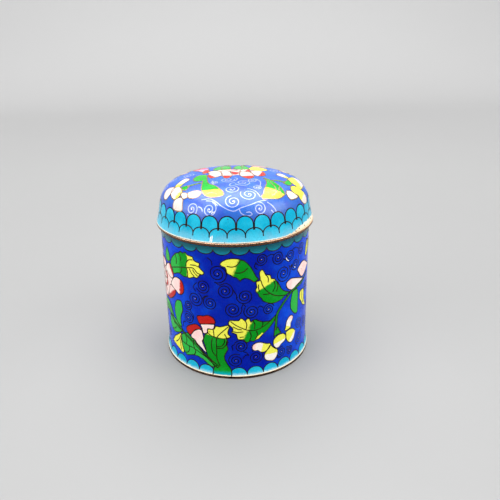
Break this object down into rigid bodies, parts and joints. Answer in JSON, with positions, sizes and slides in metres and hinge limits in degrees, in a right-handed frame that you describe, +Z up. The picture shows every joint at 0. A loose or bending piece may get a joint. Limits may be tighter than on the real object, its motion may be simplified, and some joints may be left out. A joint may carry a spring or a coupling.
{
  "type": "cloisonne enamel box",
  "caption": "Round lidded box of copper with blue cloisonne enamel, straight sides, a low domed lift-off lid and bare copper rims.",
  "frame": {"origin": "on the surface that the box stands on, under the middle of its foot rim", "axes": "+Z up along the axis that the box is turned about, -Y towards the front seen in the picture"},
  "size_m": [0.0762, 0.0762, 0.0905],
  "materials": {
    "body_enamel": "glossy cloisonne enamel on copper, cobalt blue ground with flowers, leaves, turquoise scales and wire scrolls",
    "lid_enamel": "glossy cloisonne enamel on copper, cobalt blue ground with a flower on the crown and two rows of turquoise scales",
    "copper": "bare copper, hand polished and aged brown"
  },
  "bodies": {
    "root": {"foot_rim": "copper", "body_cup": "body_enamel", "mouth_rim": "copper", "lid_rim": "copper", "lid": "lid_enamel"}
  },
  "joints": []
}
